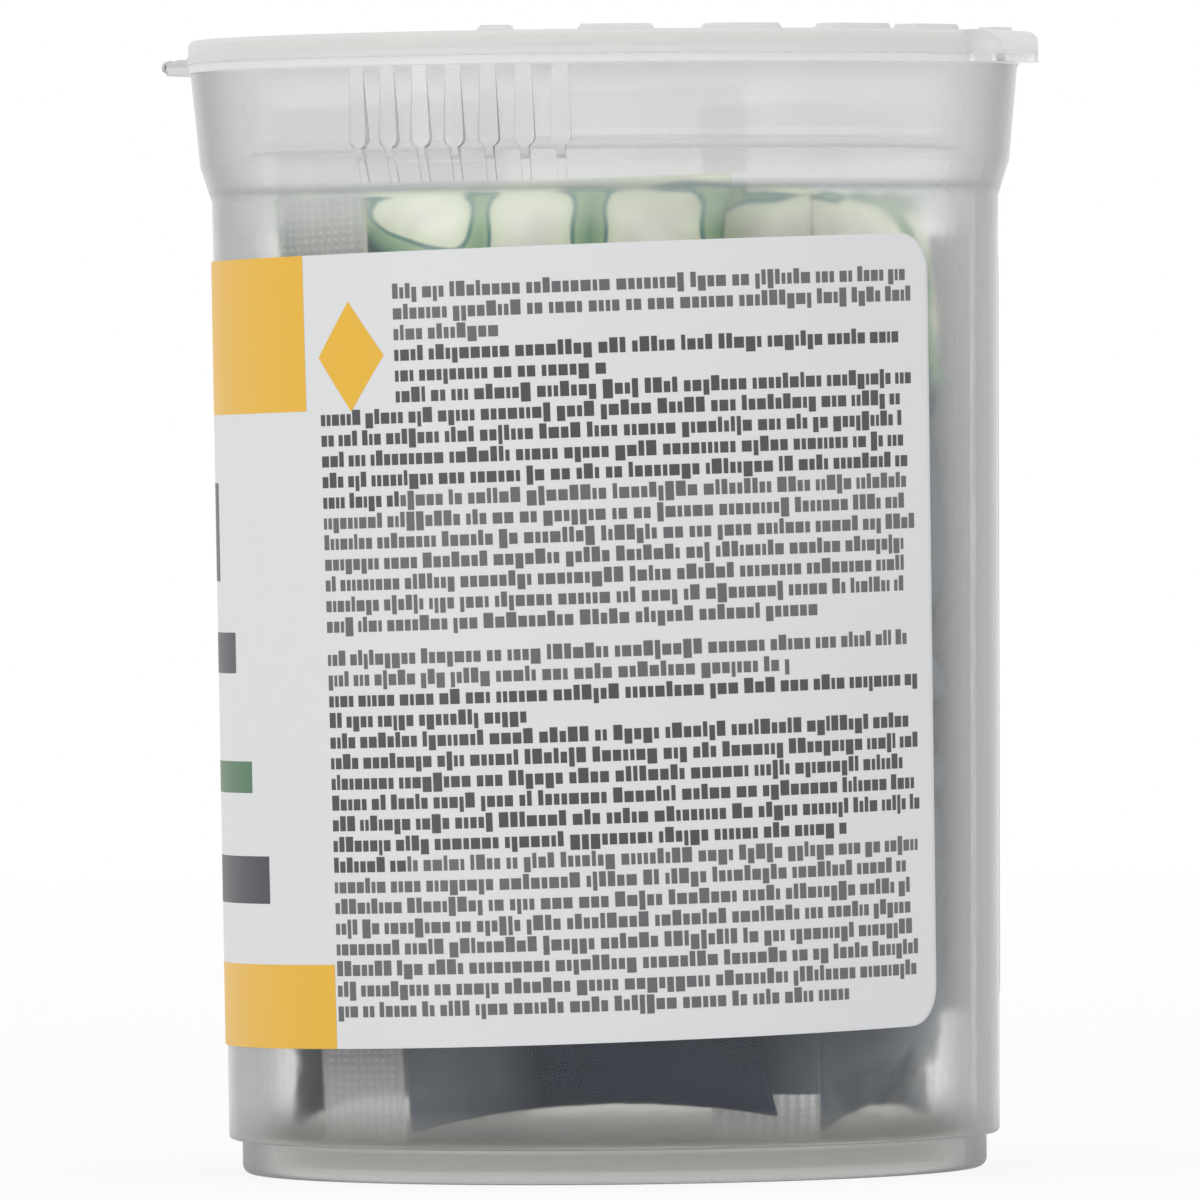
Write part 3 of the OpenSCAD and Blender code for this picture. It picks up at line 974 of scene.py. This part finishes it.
def add_camera():
    data = bpy.data.cameras.new("camera")
    data.lens = data.sensor_width * FOCAL_PX / PHOTO_PX
    data.clip_end = FAR_CLIP
    camera = bpy.data.objects.new("camera", data)
    bpy.context.scene.collection.objects.link(camera)
    azimuth = math.radians(CAMERA_AZIMUTH)
    towards = Vector((math.sin(azimuth), -math.cos(azimuth), 0))
    right = Vector((math.cos(azimuth), math.sin(azimuth), 0))
    look = -towards - Vector((0, 0, HORIZON_PX / FOCAL_PX))
    roll = Quaternion((0, 0, 1), -math.radians(CAMERA_ROLL))
    camera.location = towards * CAMERA_AWAY + right * AIM_SIDE + Vector((0, 0, CAMERA_HEIGHT))
    camera.rotation_mode = "QUATERNION"
    camera.rotation_quaternion = look.to_track_quat("-Z", "Y") @ roll
    bpy.context.scene.camera = camera


def seen_directly(nodes):
    """1 for rays that see the backdrop, straight or through glass or in gloss, and 0 for lighting."""
    path = nodes.add("ShaderNodeLightPath")
    gloss = nodes.maths("MAXIMUM", path.outputs["Is Glossy Ray"], path.outputs["Is Transmission Ray"])
    return nodes.maths("MAXIMUM", path.outputs["Is Camera Ray"], gloss)


# The floor is a disc, in millimetres, just under the pack's foot
GROUND_SIDES = 96
GROUND_R = 3000
GROUND_Z = -0.02
GROUND_TINT = (0.94, 0.94, 0.94, 1)
# It melts into the backdrop between these distances, and shines this much near the pack
GROUND_FADE = (0.15, 0.9)
GROUND_GLOW = 0.86


def add_floor():
    turns = [math.tau * i / GROUND_SIDES for i in range(GROUND_SIDES)]
    ring = [(GROUND_R * math.cos(turn), GROUND_R * math.sin(turn), GROUND_Z) for turn in turns]
    floor = add_object("floor", ring, [tuple(range(GROUND_SIDES))])
    nodes = Nodes("floor_white", Base_Color=GROUND_TINT, Roughness=0.9)
    glow = nodes.add("ShaderNodeEmission")
    mix = nodes.add("ShaderNodeMixShader")
    reach = nodes.add("ShaderNodeVectorMath", operation="LENGTH")
    nodes.link(nodes.add("ShaderNodeTexCoord").outputs["Object"], reach.inputs[0])
    fade = nodes.spread(reach.outputs["Value"], *GROUND_FADE, low=GROUND_GLOW)
    nodes.link(nodes.maths("MULTIPLY", seen_directly(nodes), fade), mix.inputs["Fac"])
    nodes.link(nodes.shader.outputs["BSDF"], mix.inputs[1])
    nodes.link(glow.outputs["Emission"], mix.inputs[2])
    nodes.link(mix.outputs["Shader"], nodes.output.inputs["Surface"])
    set_material(floor, nodes.material)


class Tree(Nodes):
    """The same helpers on the world's node tree."""

    def __init__(self, tree):
        self.tree = tree


WORLD_LEVEL = 0.72


def add_world():
    world = bpy.data.worlds.new("studio")
    world.use_nodes = True
    bpy.context.scene.world = world
    nodes = Tree(world.node_tree)
    background = world.node_tree.nodes["Background"]
    level = nodes.maths("ADD", nodes.maths("MULTIPLY", seen_directly(nodes), 1 - WORLD_LEVEL), WORLD_LEVEL)
    nodes.link(level, background.inputs["Strength"])
    background.inputs["Color"].default_value = (1, 1, 1, 1)


class Lamp(NamedTuple):
    """A soft box: its azimuth from the camera's, its elevation, its width and height, and its power."""

    name: str
    azimuth: float
    elevation: float
    size: tuple
    power: float


LAMP_AWAY = 1.2
LAMPS = [
    Lamp("left_soft", -50, 18, (0.32, 1.1), 2.6),
    Lamp("right_soft", 55, 25, (0.8, 0.8), 1.3),
    Lamp("top_soft", 0, 80, (1.0, 1.0), 1.0),
]


def add_lamp(lamp):
    data = bpy.data.lights.new(lamp.name, "AREA")
    data.shape = "RECTANGLE"
    data.size, data.size_y = lamp.size
    data.energy = lamp.power
    obj = bpy.data.objects.new(lamp.name, data)
    bpy.context.scene.collection.objects.link(obj)
    turn, rise = math.radians(CAMERA_AZIMUTH + lamp.azimuth), math.radians(lamp.elevation)
    towards = Vector((math.sin(turn) * math.cos(rise), -math.cos(turn) * math.cos(rise), math.sin(rise)))
    obj.location = towards * LAMP_AWAY
    obj.rotation_mode = "QUATERNION"
    obj.rotation_quaternion = (-towards).to_track_quat("-Z", "Y")


def main():
    bpy.context.scene.view_settings.view_transform = "Standard"
    add_camera()
    add_floor()
    add_world()
    for lamp in LAMPS:
        add_lamp(lamp)
    tub_plastic = hazy_plastic("tub_haze", TUB_ZONES, wall=True)
    lid_plastic = hazy_plastic("lid_haze", LID_ZONES)
    set_material(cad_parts["tub"], tub_plastic)
    set_material(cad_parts["lid"], lid_plastic)
    make_label()
    make_print()
    liquid, seal = pod_liquid(), pod_seal()
    for pod in PODS:
        make_pod(pod, liquid, seal)
    make_hinge_web(lid_plastic)


main()
